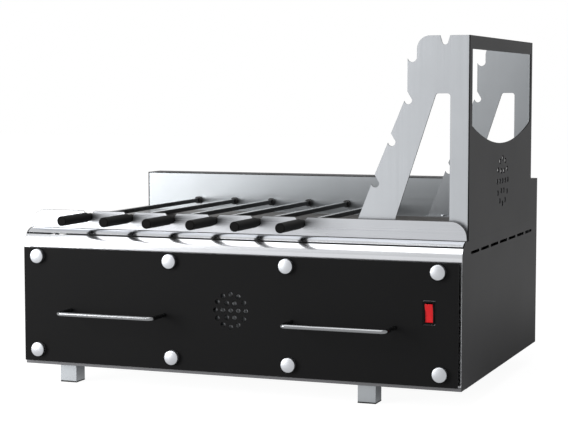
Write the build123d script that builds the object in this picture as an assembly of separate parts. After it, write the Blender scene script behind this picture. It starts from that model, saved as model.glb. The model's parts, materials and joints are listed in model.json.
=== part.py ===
from build123d import *
import math
import os

# Charcoal rotisserie grill: a sheet-metal body with one wide ash drawer, a firebox under six
# skewers that a motor turns, and a hooked tower at the right-hand end for long spits.
# All sizes are in millimetres. While a piece is drawn, X = 0 is the middle of the body,
# Y = 0 is the outer face of the black fascia and Z = 0 is the body's underside. X runs to the
# right, Y runs into the grill and Z runs up.

# Body
body_width = 800.0
body_depth = 575.0
deck_height = 242.0
steel = 1.5
side_sheet = 2.0
bullnose_radius = 26.0
deck_roll_degrees = 44.9
seam_gap = 3.0
deck_side_flange = 14.0
bottom_return = 28.0

# Fascia and its stand-off studs
fascia_sheet = 2.0
fascia_gap = 6.5
fascia_side_margin = 3.6
fascia_bottom_margin = 7.1
fascia_top_margin = 6.7
stud_head_radius = 12.5
stud_head_height = 8.0
stud_head_round = 3.0
stud_shank_radius = 4.0
stud_high_xs = (-368.0, -112.0, 101.5, 363.0)
stud_low_xs = (-368.0, -108.0, 106.0, 367.0)
stud_high_z = 194.4
stud_low_z = 28.5
spacer_radius = 8.0

# Generic round of holes in the middle of the fascia and on the tower
rosette_drop = 127.4
rosette_hole_radius = 4.0
rosette_ring_radius = 14.0
tower_rosette_rise = 86.0
tower_rosette_hole_radius = 5.0
tower_rosette_ring_radius = 20.0

# Handles
handle_rod_radius = 3.6
handle_reach = 52.0
handle_bend = 8.0
handle_drop = 141.2
handle_width = 187.0
left_handle_inset = 187.0
right_handle_inset = 200.0

# Ash drawer
drawer_left_inset = 14.0
switch_bay_width = 114.0
drawer_low = 14.0
drawer_firebox_gap = 10.0
drawer_front_margin = 8.0
tray_sheet = 1.2
tray_rear_gap = 90.0
tray_low = 18.0
tray_top_gap = 12.0
rail_width = 10.0
rail_height = 12.0
rail_rear_inset = 26.2
rail_drop = 32.0
rail_clearance = 0.3
channel_overlap = 9.0
runner_foot = 20.0

# Rocker switch on the body, seen through a window in the fascia
switch_inset = 52.5
switch_drop = 114.5
bezel_width = 19.0
bezel_height = 38.0
bezel_proud = 1.5
bezel_lip = 1.5
switch_wall = 1.0
switch_body_depth = 20.0
window_clearance = 1.0
bracket_margin = 2.5
bracket_sheet = 1.2
bracket_setback = 3.2
bracket_clearance = 2.0
rocker_side_clearance = 0.4
rocker_end_clearance = 1.3
rocker_dish = 2.0
rocker_depth = 4.0
rocker_rim = 3.0
rocker_tilt = 8.0
rocker_pin_radius = 1.2
rocker_round = 0.5

# Feet
foot_height = 37.0
foot_size = 32.0
foot_wall = 2.0
foot_plug_height = 2.0
foot_plug_insert = 10.0
foot_inset = 45.0
left_foot_inset = 65.5
right_foot_inset = 172.0

# Skewers and the front upstand that carries them
skewer_count = 6
skewer_pitch = 80.0
first_skewer_inset = 114.0
skewer_rise = 21.0
rod_size = 8.0
grip_radius = 8.5
grip_front_y = -64.6
grip_length = 107.6
grip_round = 1.5
grip_collar_radius = 6.5
grip_collar_length = 17.5
rod_in_grip = 80.0
tang_size = 6.0
rod_point = 10.0
upstand_sheet = 2.0
upstand_height = 32.0
upstand_corner = 27.0
upstand_flange = 8.0
notch_clearance = 0.3
notch_flare = 4.2

# Drive in the rear housing
housing_depth = 58.0
housing_rise = 76.0
backsplash_drop = 43.0
socket_radius = 7.2
socket_reach = 8.0
socket_hole_clearance = 0.3
socket_hole_depth = 26.0
spindle_radius = 6.0
running_clearance = 0.05
end_play = 0.3
bush_wall = 1.0
bush_flange = 3.0
bush_flange_sheet = 2.0
bush_nose = 3.0
gear_teeth = 32
gear_width = 8.0
gear_hub_radius = 10.0
gear_hub_length = 4.0
gear_space = 7.0
gear_backlash = 0.25
gear_pressure_degrees = 20.0
gear_addendum_share = 0.96
gear_plate_gap = 4.0
gear_plate_sheet = 2.0
gear_plate_margin = 7.0
pinion_teeth = 16
pinion_hub_radius = 8.0
motor_shaft_radius = 3.5
gearbox_radius = 25.0
gearbox_length = 13.0
motor_radius = 23.0
motor_length = 13.0
motor_ear_reach = 33.0
motor_ear_width = 12.0
motor_ear_sheet = 2.0

# Firebox and grate
firebox_side_margin = 55.0
firebox_front_margin = 40.0
firebox_rear_margin = 28.5
firebox_depth = 93.0
firebox_sheet = 2.0
firebox_lip = 8.0
firebox_clearance = 0.5
ash_slot_margin = 66.0
ash_slot_pitch = 52.0
ash_slot_width = 8.0
ash_slot_bridge = 20.0
grate_sheet = 3.0
grate_height = 29.0
grate_clearance = 2.0
grate_slot_margin = 40.0
grate_slot_pitch = 26.0
grate_slot_width = 10.0
grate_slot_bridge = 20.5

# Side vents
vent_count = 7
vent_length = 55.0
vent_height = 5.0
vent_front_margin = 64.0
vent_rear_margin = 47.5
vent_drop = 21.0

# Spit tower
tower_height = 333.0
tower_front_y = 47.0
tower_plate = 3.0
hook_count = 4
hook_pitch = 68.7
hook_first_rise = 89.2
hook_first_reach = 164.0
hook_lean = 0.4045
foot_lean = 0.396
tower_top_reach = 87.3
tower_corner = 22.0
tower_slot_reach = 40.1
tower_slot_width = 17.0
tower_slot_depth = 15.0
tower_slot_radius = 5.5
hook_entry_reach = 5.4
hook_entry_rise = 15.6
hook_far_reach = 13.2
hook_far_rise = 2.6
hook_low_reach = 8.5
hook_low_drop = 5.1
pocket_end_rise = 0.5
leg_width = 30.6
opening_top_width = 23.9
opening_top_rise = 239.0
opening_bottom_rise = 28.6
opening_lean = 0.33
opening_corner = 5.0
tower_foot_flange = 16.0
window_front_strip = 16.6
window_rear_strip = 12.5
window_top = 22.0
window_end_rise = 186.5
window_sag = 34.0

# Screws, rear vents and power inlet
screw_head_radius = 4.5
screw_head_height = 2.4
screw_shank_radius = 2.4
screw_length = 8.0
cover_flange = 12.0
cover_screw_rows = 4
cover_vent_count = 8
cover_vent_pitch = 14.0
cover_vent_length = 60.0
cover_vent_width = 5.0
inlet_inset = 70.0
inlet_z = 60.0
inlet_width = 28.0
inlet_height = 20.0
inlet_depth = 22.0
inlet_flange = 5.0
inlet_wall = 2.0
inlet_pin = 2.0
inlet_mouth = 8.0
lead_radius = 3.0
lead_bend = 25.0
lead_spread = 5.0
lead_bay_y = 60.0

# Places that follow from the sizes above
shell_y = fascia_sheet + fascia_gap + steel
side_x = body_width / 2 - side_sheet
arc_y = shell_y + bullnose_radius
arc_z = deck_height - bullnose_radius
upstand_y = arc_y
skewer_z = deck_height + skewer_rise
splash_y = body_depth - housing_depth
housing_top = deck_height + housing_rise
cover_y = body_depth - steel
gear_front_y = splash_y + steel + gear_space
gear_back_y = gear_front_y + gear_width
plate_y = gear_back_y + gear_hub_length + gear_plate_gap
gear_module = skewer_pitch / gear_teeth
gear_radius = skewer_pitch / 2
pinion_radius = gear_module * pinion_teeth / 2
gear_tip = gear_radius + gear_addendum_share * gear_module
first_skewer_x = -body_width / 2 + first_skewer_inset
last_skewer_x = first_skewer_x + (skewer_count - 1) * skewer_pitch
pinion_x = last_skewer_x + gear_radius + pinion_radius
floor_z = deck_height - firebox_depth
firebox_width = body_width - 2 * firebox_side_margin
firebox_front_y = upstand_y + firebox_front_margin
firebox_length = splash_y - firebox_rear_margin - firebox_front_y
ash_slots = int((firebox_width - ash_slot_margin) // ash_slot_pitch)
ash_slot_length = firebox_length / 3 - ash_slot_bridge
grate_slots = int((firebox_width - grate_slot_margin) // grate_slot_pitch)
drawer_left = -body_width / 2 + drawer_left_inset
drawer_right = body_width / 2 - switch_bay_width
drawer_high = floor_z - drawer_firebox_gap
tray_high = drawer_high - tray_top_gap
tray_length = body_depth - tray_rear_gap - shell_y
rail_z = tray_high - rail_drop
rail_length = tray_length - steel - rail_clearance - rail_rear_inset
vent_pitch = (body_depth - vent_front_margin - vent_rear_margin - vent_length) / (vent_count - 1)
vent_z = deck_height - vent_drop
rosette_z = deck_height - rosette_drop
tower_rosette_z = deck_height + tower_rosette_rise
handle_z = deck_height - handle_drop
switch_z = deck_height - switch_drop
left_handle_x = -body_width / 2 + left_handle_inset
right_handle_x = body_width / 2 - right_handle_inset
switch_x = body_width / 2 - switch_inset
inlet_x = body_width / 2 - inlet_inset
left_foot_x = -body_width / 2 + left_foot_inset
right_foot_x = body_width / 2 - right_foot_inset
foot_rear_y = body_depth - foot_inset - foot_size
skewer_xs = [first_skewer_x + i * skewer_pitch for i in range(skewer_count)]
stud_places = [(x, stud_low_z) for x in stud_low_xs] + [(x, stud_high_z) for x in stud_high_xs]
foot_places = [(x, y) for x in (left_foot_x, right_foot_x) for y in (foot_inset, foot_rear_y)]
rearmost_y = body_depth + screw_head_height


def block(x0, x1, y0, y1, z0, z1):
    """A rectangular solid between two corners."""
    return Pos((x0 + x1) / 2, (y0 + y1) / 2, (z0 + z1) / 2) * Box(x1 - x0, y1 - y0, z1 - z0)


def round_bar(x, z, radius, y0, y1):
    """A round bar along Y."""
    bar = Cylinder(radius, y1 - y0, align=(Align.CENTER, Align.CENTER, Align.MIN))
    return Pos(x, y0, z) * Rot(-90, 0, 0) * bar


def upright_bar(x, y, radius, z0, z1):
    """A round bar along Z."""
    return Pos(x, y, z0) * Cylinder(radius, z1 - z0, align=(Align.CENTER, Align.CENTER, Align.MIN))


def front_plate(face, y0, y1):
    """A face drawn in X and Z, made a plate from y0 back to y1."""
    return Pos(0, y1, 0) * extrude(Plane.XZ * face, y1 - y0)


def side_plate(face, x0, x1):
    """A face drawn in Y and Z, made a plate from x0 to x1."""
    return Pos(x0, 0, 0) * extrude(Plane.YZ * face, x1 - x0)


def rectangle(u0, u1, v0, v1):
    """A flat rectangle between two corners."""
    return Pos((u0 + u1) / 2, (v0 + v1) / 2) * Rectangle(u1 - u0, v1 - v0)


def closed_face(*edges):
    """A flat face inside edges that meet end to end."""
    return make_face(Curve() + list(edges))


def arc_point(radius, degrees):
    """A point of the bullnose, at an angle from its top towards the front."""
    turn = math.radians(degrees)
    return (arc_y - radius * math.sin(turn), arc_z + radius * math.cos(turn))


def bullnose_arc(radius, start, end):
    """The stretch of the bullnose between two angles from its top."""
    return ThreePointArc(
        arc_point(radius, start), arc_point(radius, (start + end) / 2), arc_point(radius, end)
    )


def rosette(u, v, ring, hole):
    """Three rings of plain round holes about a point."""
    holes = Pos(u, v) * Circle(hole)
    for turn_radius, count in ((ring, 6), (2 * ring, 12)):
        for i in range(count):
            angle = 2 * math.pi * i / count
            place = Pos(u + turn_radius * math.cos(angle), v + turn_radius * math.sin(angle))
            holes += place * Circle(hole)
    return holes


def front_shell_band():
    """The front's folded section over the body's full width, without its openings."""
    inner_y = shell_y + steel
    inner_radius = bullnose_radius - steel
    lip_degrees = deck_roll_degrees + math.degrees(seam_gap / bullnose_radius)
    back_y = shell_y + bottom_return
    profile = closed_face(
        Polyline((back_y, steel), (back_y, 0), (shell_y, 0), (shell_y, arc_z)),
        bullnose_arc(bullnose_radius, 90, lip_degrees),
        Line(arc_point(bullnose_radius, lip_degrees), arc_point(inner_radius, lip_degrees)),
        bullnose_arc(inner_radius, lip_degrees, 90),
        Polyline((inner_y, arc_z), (inner_y, steel), (back_y, steel)),
    )
    return side_plate(profile, -body_width / 2, body_width / 2)


def front_shell():
    """The folded front: bottom return, front face with the drawer's mouth, and bullnose."""
    inner_y = shell_y + steel
    mouth = block(drawer_left, drawer_right, shell_y - 1, inner_y + 1, drawer_low, drawer_high)
    return front_shell_band() - mouth - switch_block(0, shell_y - 1, inner_y + 1)


def deck():
    """The stainless top, rolled down at the front, with the firebox's opening."""
    inner_radius = bullnose_radius - steel
    under = deck_height - steel
    profile = closed_face(
        Polyline(arc_point(inner_radius, 0), (splash_y, under), (splash_y, deck_height),
                 arc_point(bullnose_radius, 0)),
        bullnose_arc(bullnose_radius, 0, deck_roll_degrees),
        Line(arc_point(bullnose_radius, deck_roll_degrees), arc_point(inner_radius, deck_roll_degrees)),
        bullnose_arc(inner_radius, deck_roll_degrees, 0),
    )
    top = side_plate(profile, -side_x, side_x)
    for side in (-1, 1):
        edges = sorted((side * side_x, side * (side_x - steel)))
        top += block(*edges, upstand_y, splash_y, under - deck_side_flange, under)
    half = firebox_width / 2
    back_y = firebox_front_y + firebox_length
    top -= block(-half, half, firebox_front_y, back_y, under - 1, deck_height + 1)
    for x, y in tower_screw_places():
        top -= upright_bar(x, y, screw_shank_radius + running_clearance, under - 1, deck_height + 1)
    return top


def front_upstand():
    """The upright plate whose notches carry the skewers' grips."""
    half = body_width / 2
    top = deck_height + upstand_height
    corner = upstand_corner
    bend = corner * (1 - math.sqrt(0.5))
    face = closed_face(
        Polyline((-half, top - corner), (-half, deck_height), (half, deck_height), (half, top - corner)),
        ThreePointArc((half, top - corner), (half - bend, top - bend), (half - corner, top)),
        Line((half - corner, top), (-half + corner, top)),
        ThreePointArc((-half + corner, top), (-half + bend, top - bend), (-half, top - corner)),
    )
    notch_radius = grip_collar_radius + notch_clearance
    for x in skewer_xs:
        face -= Pos(x, skewer_z) * Circle(notch_radius)
        face -= rectangle(x - notch_radius, x + notch_radius, skewer_z, top + 1)
        wide = notch_radius + notch_flare
        low = top - notch_flare
        face -= make_face(Polyline((x - notch_radius, low), (x + notch_radius, low),
                                   (x + wide, top), (x - wide, top), close=True))
    plate = front_plate(face, upstand_y, upstand_y + upstand_sheet)
    flange_y = upstand_y + upstand_sheet
    return plate + block(-side_x, side_x, flange_y, flange_y + upstand_flange,
                         deck_height, deck_height + upstand_sheet)


def side_outline():
    """The outline of a side panel, with its raised rear end beside the drive housing."""
    bend = arc_point(bullnose_radius, 45)
    return closed_face(
        Polyline((arc_y, deck_height), (splash_y, deck_height), (splash_y, housing_top),
                 (body_depth, housing_top), (body_depth, 0), (shell_y, 0), (shell_y, arc_z)),
        ThreePointArc((shell_y, arc_z), bend, (arc_y, deck_height)),
    )


def side_panel(side):
    """A painted side panel behind the front shell's edge; side is -1 for left and 1 for right."""
    face = side_outline()
    for i in range(vent_count):
        y = vent_front_margin + vent_length / 2 + i * vent_pitch
        face -= Pos(y, vent_z) * SlotOverall(vent_length, vent_height)
    outer = side * body_width / 2
    inner = side * side_x
    panel = side_plate(face, *sorted((outer, inner))) - front_shell_band()
    flange = sorted((inner, side * (side_x - cover_flange)))
    panel += block(*flange, cover_y - steel, cover_y, 2 * steel, housing_top - steel)
    for x, z in cover_screw_places():
        panel -= round_bar(x, z, screw_shank_radius + running_clearance, cover_y - steel - 1, cover_y + 1)
    return panel


def bottom_panel():
    """The base sheet inside the body."""
    return block(-side_x, side_x, shell_y + steel, cover_y, steel, 2 * steel)


def backsplash():
    """The front wall of the drive housing, which the spindles come through."""
    low = deck_height - backsplash_drop
    face = rectangle(-side_x, side_x, low, housing_top - steel)
    for x in skewer_xs:
        face -= Pos(x, skewer_z) * Circle(spindle_radius + bush_wall)
    return front_plate(face, splash_y, splash_y + steel)


def rear_cover():
    """The screwed back of the body, with vents behind the motor and a hole for the inlet."""
    face = rectangle(-side_x, side_x, 2 * steel, housing_top - steel)
    for i in range(cover_vent_count):
        x = pinion_x + (i - (cover_vent_count - 1) / 2) * cover_vent_pitch
        face -= Pos(x, skewer_z) * SlotOverall(cover_vent_length, cover_vent_width, rotation=90)
    face -= Pos(inlet_x, inlet_z) * Rectangle(inlet_width, inlet_height)
    for x, z in cover_screw_places():
        face -= Pos(x, z) * Circle(screw_shank_radius + running_clearance)
    return front_plate(face, cover_y, body_depth)


def housing_cap():
    """The lid of the drive housing, with a lip inside each long wall."""
    cap = block(-side_x, side_x, splash_y, body_depth, housing_top - steel, housing_top)
    lip_low = housing_top - cover_flange / 2 - steel
    lip_side = side_x - cover_flange
    for y in (splash_y + steel, cover_y - steel):
        cap += block(-lip_side, lip_side, y, y + steel, lip_low, housing_top - steel)
    return cap


def firebox():
    """The trough that holds the fire: a floor slotted for ash and four walls, welded together,
    with strips round the top that hang on the deck."""
    half = firebox_width / 2 - firebox_clearance
    y0 = firebox_front_y + firebox_clearance
    y1 = firebox_front_y + firebox_length - firebox_clearance
    wall = firebox_sheet
    low = floor_z + wall
    top = deck_height + wall
    rim = half + firebox_lip
    floor = block(-half, half, y0, y1, floor_z, low)
    slot_space = firebox_length / 3
    for i in range(ash_slots):
        x = (i - (ash_slots - 1) / 2) * ash_slot_pitch
        for row in (1, 2):
            y = firebox_front_y + row * slot_space
            floor -= block(x - ash_slot_width / 2, x + ash_slot_width / 2, y - ash_slot_length / 2,
                           y + ash_slot_length / 2, floor_z - 1, low + 1)
    return Compound(children=[
        floor,
        block(-half, half, y0, y0 + wall, low, top),
        block(-half, half, y1 - wall, y1, low, top),
        block(-half, -half + wall, y0 + wall, y1 - wall, low, top),
        block(half - wall, half, y0 + wall, y1 - wall, low, top),
        block(-rim, rim, y0 - firebox_lip, y0, deck_height, top),
        block(-rim, rim, y1, y1 + firebox_lip, deck_height, top),
        block(-rim, -half, y0, y1, deck_height, top),
        block(half, rim, y0, y1, deck_height, top),
    ])


def charcoal_grate():
    """The slotted plate that the charcoal lies on, standing on its two folded long edges."""
    gap = firebox_clearance + firebox_sheet + grate_clearance
    half = firebox_width / 2 - gap
    y0 = firebox_front_y + gap
    y1 = firebox_front_y + firebox_length - gap
    foot_z = floor_z + firebox_sheet
    top = foot_z + grate_height
    grate = block(-half, half, y0, y1, top - grate_sheet, top)
    grate += block(-half, half, y0, y0 + grate_sheet, foot_z, top)
    grate += block(-half, half, y1 - grate_sheet, y1, foot_z, top)
    middle = (y0 + y1) / 2
    offset = (y1 - y0) / 4
    slot_length = (y1 - y0) / 2 - grate_slot_bridge
    for i in range(grate_slots):
        x = (i - (grate_slots - 1) / 2) * grate_slot_pitch
        for y in (middle - offset, middle + offset):
            grate -= block(x - grate_slot_width / 2, x + grate_slot_width / 2, y - slot_length / 2,
                           y + slot_length / 2, top - grate_sheet - 1, top + 1)
    return grate


def tower_base_y():
    """The front and back planes between which the tower stands."""
    return tower_front_y, splash_y


def hook_tips():
    """The points of the tower's hooks from the lowest up, without the topmost."""
    right = side_x
    return [
        (right - hook_first_reach + i * hook_lean * hook_pitch, hook_first_rise + i * hook_pitch)
        for i in range(hook_count - 1)
    ]


def tower_outline():
    """The hooked outline of a tower plate and its tall opening, with Z from the deck."""
    right = side_x
    tips = hook_tips()
    entry = (hook_entry_reach, hook_entry_rise)
    far = (hook_far_reach, hook_far_rise)
    low = (hook_low_reach, -hook_low_drop)
    upright_x = tips[-1][0] + entry[0]
    top_tip = (upright_x, tips[-1][1] + hook_pitch)
    head_x = right - tower_top_reach
    edges = []
    start = (tips[0][0] - foot_lean * hook_first_rise, 0)
    for tip in tips:
        far_point = (tip[0] + far[0], tip[1] + far[1])
        entry_point = (tip[0] + entry[0], tip[1] + entry[1])
        edges.append(Line(start, tip))
        edges.append(ThreePointArc(tip, (tip[0] + low[0], tip[1] + low[1]), far_point))
        edges.append(Line(far_point, entry_point))
        start = entry_point
    pocket_end = (head_x, top_tip[1] + pocket_end_rise)
    pocket_low = ((top_tip[0] + head_x) / 2, top_tip[1] + low[1])
    corner_z = tower_height - tower_corner
    bend = tower_corner * (1 - math.sqrt(0.5))
    edges.append(Line(start, top_tip))
    edges.append(ThreePointArc(top_tip, pocket_low, pocket_end))
    edges.append(Line(pocket_end, (head_x, corner_z)))
    edges.append(ThreePointArc((head_x, corner_z), (head_x + bend, tower_height - bend),
                               (head_x + tower_corner, tower_height)))
    slot_x = right - tower_slot_reach
    slot_z = tower_height - tower_slot_depth + tower_slot_radius
    slot_half = tower_slot_width / 2
    edges.append(Polyline((head_x + tower_corner, tower_height), (slot_x - slot_half, tower_height),
                          (slot_x - tower_slot_radius, slot_z)))
    edges.append(ThreePointArc((slot_x - tower_slot_radius, slot_z),
                               (slot_x, tower_height - tower_slot_depth),
                               (slot_x + tower_slot_radius, slot_z)))
    edges.append(Polyline((slot_x + tower_slot_radius, slot_z), (slot_x + slot_half, tower_height),
                          (right, tower_height), (right, 0),
                          (tips[0][0] - foot_lean * hook_first_rise, 0)))
    outline = closed_face(*edges)
    inner = right - leg_width
    drop = opening_top_rise - opening_bottom_rise
    opening = make_face(Polyline(
        (inner, opening_bottom_rise), (inner, opening_top_rise),
        (inner - opening_top_width, opening_top_rise),
        (inner - opening_top_width - opening_lean * drop, opening_bottom_rise), close=True))
    opening = fillet(opening.vertices(), opening_corner)
    return outline - opening


def tower_foot_x():
    """The left end of a tower plate's foot."""
    return hook_tips()[0][0] - foot_lean * hook_first_rise


def tower_end_plate(rear):
    """A hooked end plate of the tower, folded along its upright edge and along its foot."""
    face = Pos(0, deck_height) * tower_outline()
    y0, y1 = tower_base_y()
    top = deck_height + tower_height
    if rear:
        plate_span = (y1 - tower_plate, y1)
        upright_span = (y1 - window_rear_strip + 1, y1 - tower_plate)
        foot_span = (y1 - tower_plate - tower_foot_flange, y1 - tower_plate)
    else:
        plate_span = (y0, y0 + tower_plate)
        upright_span = (y0 + tower_plate, y0 + window_front_strip - 1)
        foot_span = (y0 + tower_plate, y0 + tower_plate + tower_foot_flange)
    plate = front_plate(face, *plate_span)
    plate += block(side_x - tower_plate, side_x, *upright_span, deck_height, top)
    plate += block(tower_foot_x(), side_x, *foot_span, deck_height, deck_height + tower_plate)
    for x, y in tower_screw_places():
        plate -= upright_bar(x, y, screw_shank_radius + running_clearance, deck_height - 1,
                             deck_height + tower_plate + 1)
    return plate


def tower_side_plate():
    """The painted outer wall of the tower, with a window that ends in a long low arc."""
    y0, y1 = tower_base_y()
    top = deck_height + tower_height
    face = rectangle(y0, y1, deck_height, top)
    left = y0 + window_front_strip
    right = y1 - window_rear_strip
    end = deck_height + window_end_rise
    middle = (left + right) / 2
    face -= closed_face(
        Polyline((left, end), (left, top - window_top), (right, top - window_top), (right, end)),
        ThreePointArc((right, end), (middle, end - window_sag), (left, end)),
    )
    face -= rosette(middle, tower_rosette_z, tower_rosette_ring_radius, tower_rosette_hole_radius)
    return side_plate(face, side_x, side_x + side_sheet)


def tower_screw_places():
    """The screws that hold the feet of the tower's end plates to the deck."""
    y0, y1 = tower_base_y()
    inset = tower_plate + tower_foot_flange / 2
    xs = (tower_foot_x() + 3 * inset, side_x - 3 * inset)
    return [(x, y) for x in xs for y in (y0 + inset, y1 - inset)]


def cover_screw_places():
    """The screws round the rear cover, in the side panels' flanges."""
    x = side_x - cover_flange / 2
    step = (housing_top - 4 * cover_flange) / (cover_screw_rows - 1)
    return [(side * x, 2 * cover_flange + i * step) for side in (-1, 1) for i in range(cover_screw_rows)]


def panel_screws():
    """All the round-headed screws of the body, one kind throughout."""
    screws = []
    head_low = deck_height + tower_plate
    for x, y in tower_screw_places():
        head = upright_bar(x, y, screw_head_radius, head_low, head_low + screw_head_height)
        head = fillet(head.edges().sort_by(Axis.Z)[-1], screw_head_height / 2)
        screws.append(head + upright_bar(x, y, screw_shank_radius, head_low - screw_length, head_low))
    for x, z in cover_screw_places():
        head = round_bar(x, z, screw_head_radius, body_depth, body_depth + screw_head_height)
        head = fillet(head.edges().sort_by(Axis.Y)[-1], screw_head_height / 2)
        screws.append(head + round_bar(x, z, screw_shank_radius, body_depth - screw_length, body_depth))
    return Compound(children=screws)


def feet():
    """The four square tube feet and the plugs that close them."""
    tubes = []
    plugs = []
    half = foot_size / 2
    hollow = half - foot_wall
    plug_top = -foot_height + foot_plug_height
    for x, y in foot_places:
        tube = block(x - half, x + half, y, y + foot_size, plug_top, steel)
        middle = y + half
        tube -= block(x - hollow, x + hollow, middle - hollow, middle + hollow, plug_top - 1, steel + 1)
        tubes.append(tube)
        pad = block(x - half, x + half, y, y + foot_size, -foot_height, plug_top)
        pad = fillet(pad.edges().group_by(Axis.Z)[0], foot_plug_height / 4)
        plugs.append(pad + block(x - hollow, x + hollow, middle - hollow, middle + hollow,
                                 plug_top, plug_top + foot_plug_insert))
    return {"foot_tubes": Compound(children=tubes), "foot_plugs": Compound(children=plugs)}


def switch_block(grow, y0, y1):
    """A block as large as the switch's bezel grown by a margin, from y0 back to y1."""
    half_x = bezel_width / 2 + grow
    half_z = bezel_height / 2 + grow
    return block(switch_x - half_x, switch_x + half_x, y0, y1, switch_z - half_z, switch_z + half_z)


def switch_bracket():
    """The stainless box on the body's front that brings the switch out to the fascia."""
    hollow_y = bracket_setback + bracket_sheet
    box = switch_block(bracket_margin, bracket_setback, shell_y)
    box -= switch_block(bracket_margin - bracket_sheet, hollow_y, shell_y + 1)
    return box - switch_block(running_clearance - bezel_lip, bracket_setback - 1, shell_y)


def switch_body():
    """The black housing of the switch, with its bezel and the pocket that the rocker turns in."""
    back = bracket_setback + switch_body_depth
    body = switch_block(0, -bezel_proud, bracket_setback)
    body = fillet(body.edges().filter_by(Axis.Y), bezel_lip / 2)
    body += switch_block(-bezel_lip, bracket_setback, back)
    wall = bezel_lip + switch_wall
    body -= switch_block(-wall, -bezel_proud - 1, back - wall)
    reach = bezel_width / 2 - wall + switch_wall / 2
    pin_hole = Cylinder(rocker_pin_radius + running_clearance, 2 * reach)
    return body - Pos(switch_x, rocker_depth, switch_z) * Rot(0, 90, 0) * pin_hole


def rocker():
    """The red rocker with its pivot pins, resting with its top edge out."""
    wall = bezel_lip + switch_wall
    half_x = bezel_width / 2 - wall - rocker_side_clearance
    half_z = bezel_height / 2 - wall - rocker_end_clearance
    front = -bezel_proud - rocker_depth
    rim = front + rocker_rim
    back = 2 * rocker_pin_radius
    profile = closed_face(
        Polyline((front, half_z), (rim, half_z), (back, half_z / 2), (back, -half_z / 2),
                 (rim, -half_z), (front, -half_z)),
        ThreePointArc((front, -half_z), (front + rocker_dish, 0), (front, half_z)),
    )
    body = side_plate(profile, -half_x, half_x)
    body = fillet(body.edges().group_by(Axis.Y)[0], rocker_round)
    pin_reach = bezel_width / 2 - wall + switch_wall / 2 - running_clearance
    body += Rot(0, 90, 0) * Cylinder(rocker_pin_radius, 2 * pin_reach)
    return Pos(switch_x, rocker_depth, switch_z) * Rot(rocker_tilt, 0, 0) * body


def fascia():
    """The black front plate of the ash drawer."""
    half = body_width / 2 - fascia_side_margin
    top = arc_z - fascia_top_margin
    face = rectangle(-half, half, fascia_bottom_margin, top)
    face -= rosette(0, rosette_z, rosette_ring_radius, rosette_hole_radius)
    for x, z in stud_places:
        face -= Pos(x, z) * Circle(stud_shank_radius + running_clearance)
    for x in handle_leg_xs():
        face -= Pos(x, handle_z) * Circle(handle_rod_radius + running_clearance)
    plate = front_plate(face, 0, fascia_sheet)
    return plate - switch_block(window_clearance, -1, fascia_sheet + 1)


def drawer_front():
    """The stainless plate behind the fascia that closes the drawer's mouth."""
    y0 = fascia_sheet + fascia_gap
    half = body_width / 2 - fascia_side_margin - drawer_front_margin / 2
    low = fascia_bottom_margin + drawer_front_margin / 2
    top = arc_z - fascia_top_margin - drawer_front_margin / 2
    face = rectangle(-half, half, low, top)
    for x, z in stud_places:
        face -= Pos(x, z) * Circle(stud_shank_radius + running_clearance)
    plate = front_plate(face, y0, shell_y)
    return plate - switch_block(bracket_margin + bracket_clearance, y0 - 1, shell_y + 1)


def studs_and_spacers():
    """The eight round-headed studs of the fascia and the sleeves behind it."""
    studs = []
    spacers = []
    gap_y = fascia_sheet + fascia_gap
    for x, z in stud_places:
        head = round_bar(x, z, stud_head_radius, -stud_head_height, 0)
        head = fillet(head.edges().sort_by(Axis.Y)[0], stud_head_round)
        studs.append(head + round_bar(x, z, stud_shank_radius, 0, shell_y))
        sleeve = round_bar(x, z, spacer_radius, fascia_sheet, gap_y)
        spacers.append(sleeve - round_bar(x, z, stud_shank_radius + running_clearance, 0, shell_y))
    return {"fascia_studs": Compound(children=studs), "stud_spacers": Compound(children=spacers)}


def handle_leg_xs():
    """The middles of all four handle legs."""
    half = handle_width / 2 - handle_rod_radius
    return [x + side * half for x in (left_handle_x, right_handle_x) for side in (-1, 1)]


def handle(x):
    """A bent round handle; its legs pass through the fascia and stand on the plate behind."""
    half = handle_width / 2 - handle_rod_radius
    back = fascia_sheet + fascia_gap
    path = FilletPolyline((x - half, back, handle_z), (x - half, -handle_reach, handle_z),
                          (x + half, -handle_reach, handle_z), (x + half, back, handle_z),
                          radius=handle_bend)
    end = Plane(origin=(x - half, back, handle_z), z_dir=(0, -1, 0)) * Circle(handle_rod_radius)
    return sweep(end, path=path)


def drawer_tray():
    """The open ash tray behind the drawer's front: a base sheet with four walls welded on it."""
    inset = rail_clearance + rail_width
    x0 = drawer_left + inset
    x1 = drawer_right - inset
    back = shell_y + tray_length
    base_top = tray_low + tray_sheet
    inner_front = shell_y + tray_sheet
    inner_back = back - tray_sheet
    return Compound(children=[
        block(x0, x1, shell_y, back, tray_low, base_top),
        block(x0, x1, shell_y, inner_front, base_top, tray_high),
        block(x0, x1, inner_back, back, base_top, tray_high),
        block(x0, x0 + tray_sheet, inner_front, inner_back, base_top, tray_high),
        block(x1 - tray_sheet, x1, inner_front, inner_back, base_top, tray_high),
    ])


def drawer_rails():
    """The two bars on the tray's sides that slide in the runners."""
    rails = []
    y0 = shell_y + steel + rail_clearance
    for edge, side in ((drawer_left, 1), (drawer_right, -1)):
        xs = sorted((edge + side * rail_clearance, edge + side * (rail_clearance + rail_width)))
        rails.append(block(*xs, y0, y0 + rail_length, rail_z - rail_height / 2, rail_z + rail_height / 2))
    return Compound(children=rails)


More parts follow.
